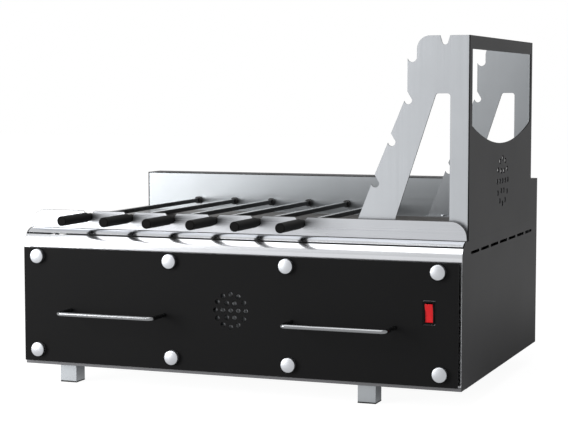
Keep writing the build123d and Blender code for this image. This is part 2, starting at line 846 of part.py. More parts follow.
def drawer_runners():
    """The two folded runners that stand on the base and carry the drawer's rails."""
    runners = []
    y0 = shell_y + steel
    y1 = y0 + rail_length + 2 * runner_foot
    reach = rail_height / 2 + rail_clearance
    for edge, side in ((drawer_left, 1), (drawer_right, -1)):
        web = sorted((edge, edge - side * steel))
        lips = sorted((edge - side * steel, edge + side * channel_overlap))
        foot = sorted((edge, edge + side * runner_foot))
        runner = block(*web, y0, y1, 2 * steel, rail_z + reach + steel)
        runner += block(*lips, y0, y1, rail_z + reach, rail_z + reach + steel)
        runner += block(*lips, y0, y1, rail_z - reach - steel, rail_z - reach)
        runner += block(*foot, y0, y1, 2 * steel, 3 * steel)
        runners.append(runner)
    return Compound(children=runners)


def tooth_half_angle(pitch_radius, radius):
    """Half the angle that an involute tooth spans at a radius."""
    pressure = math.radians(gear_pressure_degrees)
    base = pitch_radius * math.cos(pressure)
    local = math.acos(min(1.0, base / radius))
    at_pitch = (math.pi * gear_module / 2 - gear_backlash) / (2 * pitch_radius)
    return at_pitch + (math.tan(pressure) - pressure) - (math.tan(local) - local)


def gear_face(teeth, phase):
    """An involute gear about the origin; phase turns it by that share of a tooth."""
    pitch_radius = gear_module * teeth / 2
    base = pitch_radius * math.cos(math.radians(gear_pressure_degrees))
    tip = pitch_radius + gear_addendum_share * gear_module
    root = pitch_radius - 1.25 * gear_module
    step = 2 * math.pi / teeth

    def point(radius, angle):
        return (radius * math.cos(angle), radius * math.sin(angle))

    edges = []
    for i in range(teeth):
        middle = (i + phase) * step
        foot = tooth_half_angle(pitch_radius, base)
        flank = tooth_half_angle(pitch_radius, pitch_radius)
        crest = tooth_half_angle(pitch_radius, tip)
        valley = middle + step / 2
        next_foot = middle + step - foot
        edges.append(Line(point(root, middle - foot), point(base, middle - foot)))
        edges.append(ThreePointArc(point(base, middle - foot), point(pitch_radius, middle - flank),
                                   point(tip, middle - crest)))
        edges.append(ThreePointArc(point(tip, middle - crest), point(tip, middle), point(tip, middle + crest)))
        edges.append(ThreePointArc(point(tip, middle + crest), point(pitch_radius, middle + flank),
                                   point(base, middle + foot)))
        edges.append(Line(point(base, middle + foot), point(root, middle + foot)))
        edges.append(ThreePointArc(point(root, middle + foot), point(root, valley), point(root, next_foot)))
    return closed_face(*edges)


def drive_gear(index, x):
    """A spindle's gear; neighbours stand half a tooth apart, so that they mesh."""
    face = Pos(x, skewer_z) * gear_face(gear_teeth, index % 2 / 2)
    gear = front_plate(face, gear_front_y, gear_back_y)
    gear += round_bar(x, skewer_z, gear_hub_radius, gear_back_y, gear_back_y + gear_hub_length)
    return gear - round_bar(x, skewer_z, spindle_radius + running_clearance, gear_front_y - 1, plate_y)


def motor_pinion():
    """The motor's pinion with its shaft, which meshes with the last spindle's gear."""
    face = Pos(pinion_x, skewer_z) * gear_face(pinion_teeth, (skewer_count % 2) / 2)
    pinion = front_plate(face, gear_front_y, gear_back_y)
    pinion += round_bar(pinion_x, skewer_z, pinion_hub_radius, gear_back_y, gear_back_y + gear_hub_length)
    shaft_end = plate_y + gear_plate_sheet + gearbox_length / 2
    return pinion + round_bar(pinion_x, skewer_z, motor_shaft_radius, gear_front_y, shaft_end)


def spit_socket(x):
    """A spindle whose front end is the socket for a skewer's square tip."""
    front = splash_y - socket_reach
    bush_front = splash_y - end_play
    end = plate_y + gear_plate_sheet + bush_nose
    spindle = round_bar(x, skewer_z, spindle_radius, bush_front, end)
    head = round_bar(x, skewer_z, socket_radius, front, bush_front)
    head = fillet(head.edges().sort_by(Axis.Y)[0], bush_wall / 2)
    half = tang_size / 2 + socket_hole_clearance
    hole = block(x - half, x + half, front - 1, front + socket_hole_depth, skewer_z - half, skewer_z + half)
    return spindle + head - hole


def spindle_bushes():
    """The flanged bushes in the backsplash and in the gear plate."""
    bushes = []
    outer = spindle_radius + bush_wall
    flange = outer + bush_flange
    bore = spindle_radius + running_clearance
    plate_back = plate_y + gear_plate_sheet
    for x in skewer_xs:
        front = round_bar(x, skewer_z, outer, splash_y, splash_y + steel + bush_nose)
        front += round_bar(x, skewer_z, flange, splash_y + steel, splash_y + steel + bush_flange_sheet)
        rear = round_bar(x, skewer_z, outer, plate_y - bush_flange_sheet, plate_back + bush_nose)
        rear += round_bar(x, skewer_z, flange, plate_y - bush_flange_sheet, plate_y)
        hole = round_bar(x, skewer_z, bore, splash_y - 1, body_depth)
        bushes += [front - hole, rear - hole]
    return Compound(children=bushes)


def gear_plate():
    """The channel behind the gears, which carries the rear bushes and the motor."""
    reach = gear_tip + gear_plate_margin - gear_plate_sheet
    low = skewer_z - reach
    high = skewer_z + reach
    left = first_skewer_x - spindle_radius - gear_plate_margin * 2
    right = pinion_x + motor_ear_reach + gear_plate_margin
    face = rectangle(left, right, low, high)
    for x in skewer_xs:
        face -= Pos(x, skewer_z) * Circle(spindle_radius + bush_wall)
    face -= Pos(pinion_x, skewer_z) * Circle(pinion_hub_radius)
    plate = front_plate(face, plate_y, plate_y + gear_plate_sheet)
    for z in (low, high - gear_plate_sheet):
        plate += block(left, right, splash_y + steel, plate_y, z, z + gear_plate_sheet)
    return plate


def motor_and_gearbox():
    """The flat gearbox with its two ears, and the motor can behind it."""
    y0 = plate_y + gear_plate_sheet
    y1 = y0 + gearbox_length
    gearbox = round_bar(pinion_x, skewer_z, gearbox_radius, y0, y1)
    gearbox += block(pinion_x - motor_ear_reach, pinion_x + motor_ear_reach, y0, y0 + motor_ear_sheet,
                     skewer_z - motor_ear_width / 2, skewer_z + motor_ear_width / 2)
    bore = motor_shaft_radius + running_clearance
    gearbox -= round_bar(pinion_x, skewer_z, bore, y0 - 1, y0 + gearbox_length / 2 + end_play)
    motor = round_bar(pinion_x, skewer_z, motor_radius, y1, y1 + motor_length)
    motor = fillet(motor.edges().sort_by(Axis.Y)[-1], bush_wall)
    return {"motor_gearbox": gearbox, "motor": motor}


def power_inlet():
    """The recessed three-pin inlet in the rear cover."""
    half_x = inlet_width / 2 - running_clearance
    half_z = inlet_height / 2 - running_clearance
    front = body_depth + inlet_wall
    back = body_depth - inlet_depth
    inlet = block(inlet_x - half_x, inlet_x + half_x, back, body_depth, inlet_z - half_z, inlet_z + half_z)
    inlet += block(inlet_x - half_x - inlet_flange, inlet_x + half_x + inlet_flange, body_depth, front,
                   inlet_z - half_z - inlet_flange, inlet_z + half_z + inlet_flange)
    inlet -= block(inlet_x - half_x + inlet_wall, inlet_x + half_x - inlet_wall, back + inlet_wall,
                   front + 1, inlet_z - half_z + inlet_wall, inlet_z + half_z - inlet_wall)
    spread = inlet_width / 4
    for dx, dz in ((-spread, -inlet_pin), (0, inlet_pin), (spread, -inlet_pin)):
        inlet += block(inlet_x + dx - inlet_pin / 2, inlet_x + dx + inlet_pin / 2, back + inlet_wall,
                       body_depth - inlet_mouth, inlet_z + dz - inlet_pin, inlet_z + dz + inlet_pin)
    return inlet


def lead(*points):
    """A round lead along straight runs with equal bends."""
    path = FilletPolyline(*points, radius=lead_bend)
    start = Plane(origin=points[0], z_dir=path % 0)
    return sweep(start * Circle(lead_radius), path=path)


def wiring_loom():
    """The leads that run beside the drawer, from the inlet to the switch and on to the motor."""
    switch_back = bracket_setback + switch_body_depth
    motor_y = plate_y + gear_plate_sheet + gearbox_length + motor_length / 2
    motor_side_x = pinion_x + motor_radius
    low_z = switch_z - lead_spread
    high_z = switch_z + lead_spread
    supply_x = switch_x + lead_spread / 2
    drive_x = switch_x - lead_spread / 2
    supply = lead((inlet_x, body_depth - inlet_depth, inlet_z), (inlet_x, lead_bay_y + 3 * lead_bend, inlet_z),
                  (supply_x, lead_bay_y + lead_bend, low_z), (supply_x, switch_back, low_z))
    drive = lead((drive_x, switch_back, high_z), (drive_x, motor_y, high_z), (drive_x, motor_y, skewer_z),
                 (motor_side_x, motor_y, skewer_z))
    return Compound(children=[supply, drive])


def skewer_tip_y():
    """The back end of a skewer's rod, seated in its socket."""
    return splash_y - socket_reach + socket_hole_depth - end_play


def skewer_rod(x):
    """A square rod from inside the grip, with a thinner tang whose pointed end sits in the socket."""
    half = rod_size / 2
    thin = tang_size / 2
    start = grip_front_y + grip_length - rod_in_grip
    shoulder = splash_y - socket_reach - end_play
    tip = skewer_tip_y()
    rod = block(x - half, x + half, start, shoulder, skewer_z - half, skewer_z + half)
    rod += block(x - thin, x + thin, shoulder, tip - rod_point, skewer_z - thin, skewer_z + thin)
    base = Plane(origin=(x, tip - rod_point, skewer_z), z_dir=(0, 1, 0))
    end = Plane(origin=(x, tip, skewer_z), z_dir=(0, 1, 0))
    return rod + loft([base * Rectangle(tang_size, tang_size), end * Rectangle(thin, thin)])


def skewer_grip(x):
    """A turned black grip with a collar that lies in its notch and a blind hole for the rod."""
    back = grip_front_y + grip_length
    collar_y = back - grip_collar_length
    grip = round_bar(x, skewer_z, grip_radius, grip_front_y, collar_y)
    grip = fillet(grip.edges().filter_by(GeomType.CIRCLE), grip_round)
    grip += round_bar(x, skewer_z, grip_collar_radius, collar_y, back)
    half = rod_size / 2
    return grip - block(x - half, x + half, back - rod_in_grip, back + 1, skewer_z - half, skewer_z + half)


def pieces():
    """Every node of the grill by name, in the drawing frame."""
    nodes = {
        "front_shell": front_shell(),
        "deck": deck(),
        "front_upstand": front_upstand(),
        "left_side_panel": side_panel(-1),
        "right_side_panel": side_panel(1),
        "bottom_panel": bottom_panel(),
        "backsplash": backsplash(),
        "rear_cover": rear_cover(),
        "housing_cap": housing_cap(),
        "firebox": firebox(),
        "charcoal_grate": charcoal_grate(),
        "drawer_runners": drawer_runners(),
        "tower_front_plate": tower_end_plate(False),
        "tower_rear_plate": tower_end_plate(True),
        "tower_side_plate": tower_side_plate(),
        "panel_screws": panel_screws(),
        "switch_bracket": switch_bracket(),
        "switch_body": switch_body(),
        "rocker": rocker(),
        "gear_plate": gear_plate(),
        "spindle_bushes": spindle_bushes(),
        "motor_pinion": motor_pinion(),
        "power_inlet": power_inlet(),
        "wiring_loom": wiring_loom(),
        "fascia": fascia(),
        "drawer_front": drawer_front(),
        "drawer_tray": drawer_tray(),
        "drawer_rails": drawer_rails(),
        "handle_left": handle(left_handle_x),
        "handle_right": handle(right_handle_x),
    }
    nodes.update(feet())
    nodes.update(studs_and_spacers())
    nodes.update(motor_and_gearbox())
    for index, x in enumerate(skewer_xs):
        number = index + 1
        nodes[f"drive_gear_{number}"] = drive_gear(index, x)
        nodes[f"spit_socket_{number}"] = spit_socket(x)
        nodes[f"skewer_rod_{number}"] = skewer_rod(x)
        nodes[f"skewer_grip_{number}"] = skewer_grip(x)
    return nodes


# The grill's own frame has its origin on the ground, under the middle of its outer box.
to_ground = Pos(0, -(grip_front_y + rearmost_y) / 2, foot_height)

os.makedirs("parts", exist_ok=True)
for name, piece in pieces().items():
    export_step(to_ground * piece, f"parts/{name}.step")
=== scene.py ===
import json
import math

import bmesh
import bpy
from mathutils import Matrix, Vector

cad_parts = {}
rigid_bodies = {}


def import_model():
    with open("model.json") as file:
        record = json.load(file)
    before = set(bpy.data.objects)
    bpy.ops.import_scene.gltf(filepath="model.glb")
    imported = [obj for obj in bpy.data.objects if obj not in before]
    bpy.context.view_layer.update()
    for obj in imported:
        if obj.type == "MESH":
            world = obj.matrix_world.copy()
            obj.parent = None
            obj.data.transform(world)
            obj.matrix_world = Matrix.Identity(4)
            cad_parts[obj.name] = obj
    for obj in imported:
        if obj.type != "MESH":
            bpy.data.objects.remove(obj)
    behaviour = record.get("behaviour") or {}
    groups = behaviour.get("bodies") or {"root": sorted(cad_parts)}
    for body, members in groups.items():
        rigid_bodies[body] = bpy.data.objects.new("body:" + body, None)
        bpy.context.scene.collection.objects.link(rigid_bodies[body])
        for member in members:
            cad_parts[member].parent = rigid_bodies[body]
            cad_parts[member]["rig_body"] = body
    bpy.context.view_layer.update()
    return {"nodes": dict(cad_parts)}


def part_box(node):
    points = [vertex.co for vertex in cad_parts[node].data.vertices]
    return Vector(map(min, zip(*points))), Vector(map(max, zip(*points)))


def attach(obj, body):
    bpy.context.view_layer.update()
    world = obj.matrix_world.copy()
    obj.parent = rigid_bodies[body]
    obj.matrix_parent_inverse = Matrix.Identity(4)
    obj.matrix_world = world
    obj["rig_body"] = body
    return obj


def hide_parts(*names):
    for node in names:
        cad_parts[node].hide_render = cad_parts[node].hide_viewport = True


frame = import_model()
nodes = frame["nodes"]

# The stage: a wide pale floor, a white surround and a camera where the photograph was taken.
# Metal sees the same white as the camera does, greyer far behind the grill; under the grill that white is
# dimmed as a painted shadow, which metal shows in its reflections.
BACKGROUND = (1.0, 1.0, 1.0, 1.0)
SURROUND_ON_OBJECT = 0.5
FLOOR_HALF = 14.0
FLOOR_GLOW = 0.93
FLOOR_SHADOW = 0.2
FLOOR_COLOUR = 0.86
GREY_BEHIND = 0.4
BEHIND_FROM, BEHIND_TO = 1.5, 3.0
PAINTED_SHADOW_UNDER = 0.1
UNDER_MIDDLE = (0.1, 0.45, 0.0)
UNDER_FROM, UNDER_TO = 0.5, 0.9
CAMERA_LENS = 101.909
CAMERA_PLACE = (1.04564, -2.74595, 0.52255)
CAMERA_TILT, CAMERA_TURN = 90 - 4.6365, 20.858


def seen_or_reflected(tree):
    """A factor of 1 for what the camera sees directly, in a reflection or through glass."""
    path = tree.nodes.new("ShaderNodeLightPath")
    first = tree.nodes.new("ShaderNodeMath")
    first.operation = "MAXIMUM"
    both = tree.nodes.new("ShaderNodeMath")
    both.operation = "MAXIMUM"
    tree.links.new(path.outputs["Is Camera Ray"], first.inputs[0])
    tree.links.new(path.outputs["Is Glossy Ray"], first.inputs[1])
    tree.links.new(first.outputs[0], both.inputs[0])
    tree.links.new(path.outputs["Is Transmission Ray"], both.inputs[1])
    return both.outputs[0]


world = bpy.data.worlds.new("studio")
bpy.context.scene.world = world
world.use_nodes = True
sky = world.node_tree
sky.nodes.clear()
sky_out = sky.nodes.new("ShaderNodeOutputWorld")
sky_mix = sky.nodes.new("ShaderNodeMixShader")
sky_dim = sky.nodes.new("ShaderNodeBackground")
sky_dim.inputs["Strength"].default_value = SURROUND_ON_OBJECT
sky_white = sky.nodes.new("ShaderNodeBackground")
sky_white.inputs["Color"].default_value = BACKGROUND
sky.links.new(seen_or_reflected(sky), sky_mix.inputs[0])
sky.links.new(sky_dim.outputs[0], sky_mix.inputs[1])
sky.links.new(sky_white.outputs[0], sky_mix.inputs[2])
sky.links.new(sky_mix.outputs[0], sky_out.inputs["Surface"])

floor_mesh = bpy.data.meshes.new("floor")
floor_mesh.from_pydata(
    [(-FLOOR_HALF, -FLOOR_HALF, 0), (FLOOR_HALF, -FLOOR_HALF, 0), (FLOOR_HALF, FLOOR_HALF, 0),
     (-FLOOR_HALF, FLOOR_HALF, 0)], [], [(0, 1, 2, 3)])
floor = bpy.data.objects.new("floor", floor_mesh)
bpy.context.scene.collection.objects.link(floor)
floor_paint = bpy.data.materials.new("floor_paint")
floor_paint.use_nodes = True
floor_tree = floor_paint.node_tree
floor_tree.nodes.clear()
floor_out = floor_tree.nodes.new("ShaderNodeOutputMaterial")
floor_matt = floor_tree.nodes.new("ShaderNodeBsdfDiffuse")
floor_matt.inputs["Color"].default_value = (FLOOR_COLOUR, FLOOR_COLOUR, FLOOR_COLOUR, 1.0)
floor_glow = floor_tree.nodes.new("ShaderNodeEmission")
floor_glow.inputs["Color"].default_value = BACKGROUND
floor_shade = floor_tree.nodes.new("ShaderNodeBsdfDiffuse")
floor_shade.inputs["Color"].default_value = (FLOOR_SHADOW, FLOOR_SHADOW, FLOOR_SHADOW, 1.0)
floor_both = floor_tree.nodes.new("ShaderNodeAddShader")
floor_path = floor_tree.nodes.new("ShaderNodeLightPath")
floor_place = floor_tree.nodes.new("ShaderNodeTexCoord")
floor_depth = floor_tree.nodes.new("ShaderNodeSeparateXYZ")
floor_fall = floor_tree.nodes.new("ShaderNodeMapRange")
floor_fall.interpolation_type = "SMOOTHSTEP"
floor_fall.inputs["From Min"].default_value = BEHIND_FROM
floor_fall.inputs["From Max"].default_value = BEHIND_TO
floor_fall.inputs["To Min"].default_value = 1.0
floor_fall.inputs["To Max"].default_value = GREY_BEHIND
floor_from = floor_tree.nodes.new("ShaderNodeVectorMath")
floor_from.operation = "DISTANCE"
floor_from.inputs[1].default_value = UNDER_MIDDLE
# Painted shadow: the floor's glow, as metal sees it, falls to grey around the grill's footprint.
floor_painted_shadow = floor_tree.nodes.new("ShaderNodeMapRange")
floor_painted_shadow.interpolation_type = "SMOOTHSTEP"
floor_painted_shadow.inputs["From Min"].default_value = UNDER_FROM
floor_painted_shadow.inputs["From Max"].default_value = UNDER_TO
floor_painted_shadow.inputs["To Min"].default_value = PAINTED_SHADOW_UNDER
floor_painted_shadow.inputs["To Max"].default_value = 1.0
floor_grey = floor_tree.nodes.new("ShaderNodeMath")
floor_grey.operation = "MULTIPLY"
floor_strength = floor_tree.nodes.new("ShaderNodeMix")
floor_strength.inputs["B"].default_value = FLOOR_GLOW
floor_mix = floor_tree.nodes.new("ShaderNodeMixShader")
floor_tree.links.new(floor_place.outputs["Object"], floor_depth.inputs[0])
floor_tree.links.new(floor_depth.outputs["Y"], floor_fall.inputs["Value"])
floor_tree.links.new(floor_path.outputs["Is Camera Ray"], floor_strength.inputs["Factor"])
floor_tree.links.new(floor_place.outputs["Object"], floor_from.inputs[0])
floor_tree.links.new(floor_from.outputs["Value"], floor_painted_shadow.inputs["Value"])
floor_tree.links.new(floor_fall.outputs["Result"], floor_grey.inputs[0])
floor_tree.links.new(floor_painted_shadow.outputs["Result"], floor_grey.inputs[1])
floor_tree.links.new(floor_grey.outputs[0], floor_strength.inputs["A"])
floor_tree.links.new(floor_strength.outputs["Result"], floor_glow.inputs["Strength"])
floor_tree.links.new(floor_glow.outputs[0], floor_both.inputs[0])
floor_tree.links.new(floor_shade.outputs[0], floor_both.inputs[1])
floor_tree.links.new(seen_or_reflected(floor_tree), floor_mix.inputs[0])
floor_tree.links.new(floor_matt.outputs[0], floor_mix.inputs[1])
floor_tree.links.new(floor_both.outputs[0], floor_mix.inputs[2])
floor_tree.links.new(floor_mix.outputs[0], floor_out.inputs["Surface"])
floor_mesh.materials.append(floor_paint)


def softbox(name, place, aim, width, height, power):
    """A rectangular lamp that faces a point."""
    lamp = bpy.data.lights.new(name, "AREA")
    lamp.shape = "RECTANGLE"
    lamp.size = width
    lamp.size_y = height
    lamp.energy = power
    holder = bpy.data.objects.new(name, lamp)
    holder.location = place
    holder.rotation_euler = (Vector(aim) - Vector(place)).to_track_quat("-Z", "Y").to_euler()
    bpy.context.scene.collection.objects.link(holder)


softbox("key_left", (-2.6, -2.9, 1.05), (-0.1, 0.0, 0.25), 1.7, 2.1, 135.0)
softbox("overhead", (-0.3, -1.6, 2.45), (0.0, -0.3, 0.2), 2.4, 2.8, 54.0)

lens = bpy.data.cameras.new("camera")
lens.sensor_width = 36.0
lens.lens = CAMERA_LENS
camera = bpy.data.objects.new("camera", lens)
camera.location = CAMERA_PLACE
camera.rotation_euler = (math.radians(CAMERA_TILT), 0.0, math.radians(CAMERA_TURN))
bpy.context.scene.collection.objects.link(camera)
bpy.context.scene.camera = camera
bpy.context.scene.view_settings.view_transform = "Standard"


# The stainless body: folded sheet, brushed along its length, with its laser-cut edges rubbed
# down. The front and deck are folded to the bullnose; the upstand and backsplash stand on it.
SHEET_EDGE = 0.00035
FOLD_EDGE = 0.0007
WALL_EDGE = 0.0006
PLATE_EDGE = 0.0008
SHARP_FOLD = math.radians(40)
SHARP_SHADING = math.radians(50)
HEM_HEIGHT = 0.0447
UPSTAND_SHEET = 0.002
BACKSPLASH_SHEET = 0.0015


def brushed_steel(name, colour, roughness, stretch):
    """Brushed sheet steel; stretch is small along the brushing and large across it."""
    material = bpy.data.materials.new(name)
    material.use_nodes = True
    tree = material.node_tree
    steel = tree.nodes["Principled BSDF"]
    steel.inputs["Metallic"].default_value = 1.0
    place = tree.nodes.new("ShaderNodeTexCoord")
    spread = tree.nodes.new("ShaderNodeMapping")
    spread.inputs["Scale"].default_value = stretch
    lines = tree.nodes.new("ShaderNodeTexNoise")
    lines.inputs["Scale"].default_value = 1.0
    lines.inputs["Detail"].default_value = 4.0
    clouds = tree.nodes.new("ShaderNodeTexNoise")
    clouds.inputs["Scale"].default_value = 14.0
    clouds.inputs["Detail"].default_value = 3.0
    tree.links.new(place.outputs["Object"], spread.inputs["Vector"])
    tree.links.new(spread.outputs["Vector"], lines.inputs["Vector"])
    tree.links.new(place.outputs["Object"], clouds.inputs["Vector"])
    tone = tree.nodes.new("ShaderNodeMix")
    tone.data_type = "RGBA"
    tone.inputs["A"].default_value = (*[0.93 * c for c in colour], 1.0)
    tone.inputs["B"].default_value = (*[min(1.0, 1.05 * c) for c in colour], 1.0)
    tree.links.new(clouds.outputs["Fac"], tone.inputs["Factor"])
    tree.links.new(tone.outputs["Result"], steel.inputs["Base Color"])
    gloss = tree.nodes.new("ShaderNodeMapRange")
    gloss.inputs["To Min"].default_value = roughness - 0.05
    gloss.inputs["To Max"].default_value = roughness + 0.07
    tree.links.new(lines.outputs["Fac"], gloss.inputs["Value"])
    tree.links.new(gloss.outputs["Result"], steel.inputs["Roughness"])
    relief = tree.nodes.new("ShaderNodeBump")
    relief.inputs["Strength"].default_value = 0.06
    relief.inputs["Distance"].default_value = 0.0004
    tree.links.new(lines.outputs["Fac"], relief.inputs["Height"])
    tree.links.new(relief.outputs["Normal"], steel.inputs["Normal"])
    return material


def eased_copy(node, material, edge=SHEET_EDGE, special=(), height=None):
    """A copy of a CAD node with its sharp edges eased, which takes the node's place. special pairs
    a test of a face with the finish that such faces get; height cuts the faces level there."""
    shape = bmesh.new()
    shape.from_mesh(nodes[node].data)
    bmesh.ops.remove_doubles(shape, verts=shape.verts, dist=1e-6)
    bmesh.ops.dissolve_limit(shape, angle_limit=math.radians(0.6), verts=shape.verts, edges=shape.edges)
    sharp = [e for e in shape.edges if len(e.link_faces) == 2 and e.calc_face_angle(0) > SHARP_FOLD]
    bmesh.ops.bevel(shape, geom=sharp, offset=edge, segments=2, profile=0.5, affect="EDGES",
                    clamp_overlap=True)
    if height:
        bmesh.ops.bisect_plane(shape, geom=shape.verts[:] + shape.edges[:] + shape.faces[:],
                               plane_co=(0.0, 0.0, height), plane_no=(0.0, 0.0, 1.0))
    for index, (is_special, finish) in enumerate(special):
        for polygon in shape.faces:
            if is_special(polygon):
                polygon.material_index = index + 1
    mesh = bpy.data.meshes.new(node + "_finished")
    shape.to_mesh(mesh)
    shape.free()
    for finish in [material] + [finish for is_special, finish in special]:
        mesh.materials.append(finish)
    for polygon in mesh.polygons:
        polygon.use_smooth = True
    piece = bpy.data.objects.new(node + "_finished", mesh)
    bpy.context.scene.collection.objects.link(piece)
    mesh.set_sharp_from_angle(angle=SHARP_SHADING)
    flatten = piece.modifiers.new("even_faces", "WEIGHTED_NORMAL")
    flatten.mode = "FACE_AREA"
    flatten.weight = 100
    flatten.keep_sharp = True
    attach(piece, nodes[node]["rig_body"])
    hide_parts(node)
    return piece


def sheet_edge(node, axis, side, thickness):
    """A test for the cut edge of the flat sheet on one side of a node, with its eased corners."""
    low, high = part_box(node)
    face = low[axis] if side < 0 else high[axis] - thickness

    def is_edge(polygon):
        depths = [v.co[axis] - face for v in polygon.verts]
        return (min(depths) > -1e-5 and max(depths) < thickness + 1e-5
                and abs(polygon.normal[axis]) < 0.97)
    return is_edge


def is_roll_end(polygon):
    """The cut end of the deck's rolled front, which faces down into the seam and is given painted shade.
    """
    return polygon.normal.y < -0.5 and polygon.normal.z < -0.5


def is_deck_top(polygon):
    """The flat top of the deck, which gets a darker, duller steel."""
    return abs(polygon.normal.z) > 0.99


def is_hem(polygon):
    """The lowest part of the folded front, below the fascia, where the fascia's shade is painted."""
    return polygon.calc_center_median().z < HEM_HEIGHT


def is_shell_end(polygon):
    """The cut ends of the folded front with their eased corners, and the lip inside the seam, which are
    given painted shade.
    """
    return abs(polygon.normal.x) > 0.2 or (polygon.normal.y > 0.5 and polygon.normal.z > 0.5)


stainless = brushed_steel("stainless_brushed_along", (0.4, 0.41, 0.43), 0.28, (3.0, 700.0, 700.0))
# Painted shade: the backsplash gets a darker copy of the same brushed stainless, for the shade it stands
# in behind the upstand and tower.
backsplash_painted_shade = brushed_steel("stainless_backsplash_painted_shade", (0.222, 0.234, 0.244), 0.31, (3.0, 700.0, 700.0))
stainless_polished = brushed_steel("stainless_bullnose", (0.53, 0.54, 0.56), 0.18, (3.0, 500.0, 500.0))
# Painted shade: the hem below the fascia gets a dark, dull steel for the shade the fascia casts on it.
hem_painted_shade = brushed_steel("stainless_hem_painted_shade", (0.12, 0.12, 0.125), 0.5, (3.0, 300.0, 300.0))
# The deck's flat top gets a darker, duller steel than the bullnose it is folded with.
deck_top_darker = brushed_steel("stainless_deck_top_darker", (0.13, 0.13, 0.13), 0.42, (3.0, 300.0, 300.0))
# Painted shade: cut edges and the faces inside the seam get a near-black steel for the shade on thin
# edges and in the seam.
shaded_cut_edge = brushed_steel("cut_edge_painted_shade", (0.07, 0.07, 0.07), 0.55, (500.0, 500.0, 500.0))
eased_copy("front_shell", stainless_polished, FOLD_EDGE,
           special=((is_hem, hem_painted_shade), (is_shell_end, shaded_cut_edge)), height=HEM_HEIGHT)
eased_copy("deck", stainless_polished,
           special=((is_deck_top, deck_top_darker), (is_roll_end, shaded_cut_edge)))
eased_copy("front_upstand", stainless, PLATE_EDGE,
           special=((sheet_edge("front_upstand", 1, -1, UPSTAND_SHEET), shaded_cut_edge),))
eased_copy("backsplash", backsplash_painted_shade, WALL_EDGE,
           special=((sheet_edge("backsplash", 1, -1, BACKSPLASH_SHEET), shaded_cut_edge),))


# The painted outer panels: sheet steel in dark grey powder coat, with the fine orange peel
# that the powder leaves when it melts. The tower's side wall is coated in the same batch.
PANEL_SHEET = 0.002
TOWER_WALL_EDGE = 0.0009


def powder_coat(name, colour, roughness, specular):
    """Powder coat, with a fine orange peel and a slight change of gloss over a panel."""
    material = bpy.data.materials.new(name)
    material.use_nodes = True
    tree = material.node_tree
    paint = tree.nodes["Principled BSDF"]
    paint.inputs["Specular IOR Level"].default_value = specular
    place = tree.nodes.new("ShaderNodeTexCoord")
    peel = tree.nodes.new("ShaderNodeTexNoise")
    peel.inputs["Scale"].default_value = 900.0
    peel.inputs["Detail"].default_value = 2.0
    patches = tree.nodes.new("ShaderNodeTexNoise")
    patches.inputs["Scale"].default_value = 7.0
    tree.links.new(place.outputs["Object"], peel.inputs["Vector"])
    tree.links.new(place.outputs["Object"], patches.inputs["Vector"])
    tone = tree.nodes.new("ShaderNodeMix")
    tone.data_type = "RGBA"
    tone.inputs["A"].default_value = (*[0.92 * c for c in colour], 1.0)
    tone.inputs["B"].default_value = (*[1.08 * c for c in colour], 1.0)
    tree.links.new(patches.outputs["Fac"], tone.inputs["Factor"])
    tree.links.new(tone.outputs["Result"], paint.inputs["Base Color"])
    gloss = tree.nodes.new("ShaderNodeMapRange")
    gloss.inputs["To Min"].default_value = roughness - 0.04
    gloss.inputs["To Max"].default_value = roughness + 0.04
    tree.links.new(patches.outputs["Fac"], gloss.inputs["Value"])
    tree.links.new(gloss.outputs["Result"], paint.inputs["Roughness"])
    relief = tree.nodes.new("ShaderNodeBump")
    relief.inputs["Strength"].default_value = 0.12
    relief.inputs["Distance"].default_value = 0.0002
    tree.links.new(peel.outputs["Fac"], relief.inputs["Height"])
    tree.links.new(relief.outputs["Normal"], paint.inputs["Normal"])
    return material


panel_grey = powder_coat("panel_grey", (0.0215, 0.0215, 0.0228), 0.55, 0.14)
# Painted shade: the panels' cut edges get a near-black copy of the coat, for the shade on their thin
# edges.
painted_shade_rim = powder_coat("powder_rim_painted_shade", (0.004, 0.004, 0.0042), 0.6, 0.05)
eased_copy("left_side_panel", panel_grey, PLATE_EDGE,
           special=((sheet_edge("left_side_panel", 0, -1, PANEL_SHEET), painted_shade_rim),))
eased_copy("right_side_panel", panel_grey, PLATE_EDGE,
           special=((sheet_edge("right_side_panel", 0, 1, PANEL_SHEET), painted_shade_rim),))
eased_copy("tower_side_plate", panel_grey, TOWER_WALL_EDGE,
           special=((sheet_edge("tower_side_plate", 0, 1, PANEL_SHEET), painted_shade_rim),))
eased_copy("rear_cover", panel_grey, WALL_EDGE)
eased_copy("housing_cap", panel_grey, WALL_EDGE)


# The tower's two hooked end plates: thick stainless plate, cut by laser and brushed upright,
# then folded along the upright edge and the foot.
TOWER_PLATE = 0.003
tower_steel = brushed_steel("stainless_brushed_upright", (0.345, 0.358, 0.375), 0.33, (600.0, 600.0, 3.0))
# Painted shade: the rear plate gets a darker copy of the same brushed steel, for the shade its seen face
# stands in.
tower_steel_painted_shade = brushed_steel("stainless_rear_plate_painted_shade", (0.215, 0.225, 0.235), 0.36, (600.0, 600.0, 3.0))
eased_copy("tower_front_plate", tower_steel, FOLD_EDGE,
           special=((sheet_edge("tower_front_plate", 1, -1, TOWER_PLATE), shaded_cut_edge),))
eased_copy("tower_rear_plate", tower_steel_painted_shade, FOLD_EDGE,
           special=((sheet_edge("tower_rear_plate", 1, 1, TOWER_PLATE), shaded_cut_edge),))


# The base and feet: a zinc-coated base sheet on four stainless square tubes, each closed
# at the foot by a black moulded plug.
zinc = brushed_steel("zinc_coated", (0.55, 0.57, 0.58), 0.42, (40.0, 40.0, 40.0))
eased_copy("bottom_panel", zinc)
foot_steel = brushed_steel("stainless_tube", (0.31, 0.325, 0.34), 0.42, (500.0, 500.0, 4.0))
eased_copy("foot_tubes", foot_steel, PLATE_EDGE)


